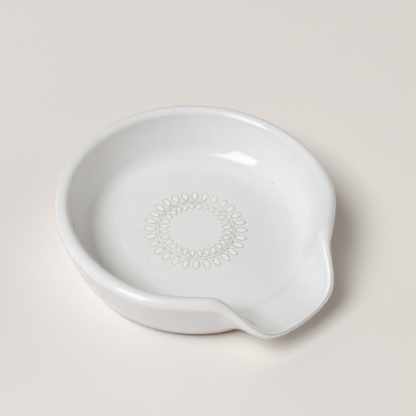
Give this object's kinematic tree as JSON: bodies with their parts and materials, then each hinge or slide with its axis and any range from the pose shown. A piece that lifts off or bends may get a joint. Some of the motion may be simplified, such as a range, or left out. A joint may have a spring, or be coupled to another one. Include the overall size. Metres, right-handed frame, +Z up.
{
  "type": "spoon rest",
  "caption": "Round glazed stoneware dish with a raised rim and one wide low lip, for resting a cooking spoon.",
  "frame": {"origin": "middle of the foot ring, on the wheel axis, at the table", "axes": "+Z up along the wheel axis, -Y out through the middle of the lip"},
  "size_m": [0.1204, 0.1278, 0.0297],
  "materials": {
    "bare_stoneware": "fired bare clay, matt and slightly gritty",
    "white_glaze": "glossy white glaze with a few iron specks, thinner and tan over sharp edges"
  },
  "bodies": {
    "root": {"stoneware_body": "bare_stoneware", "glaze_coat": "white_glaze"}
  },
  "joints": []
}
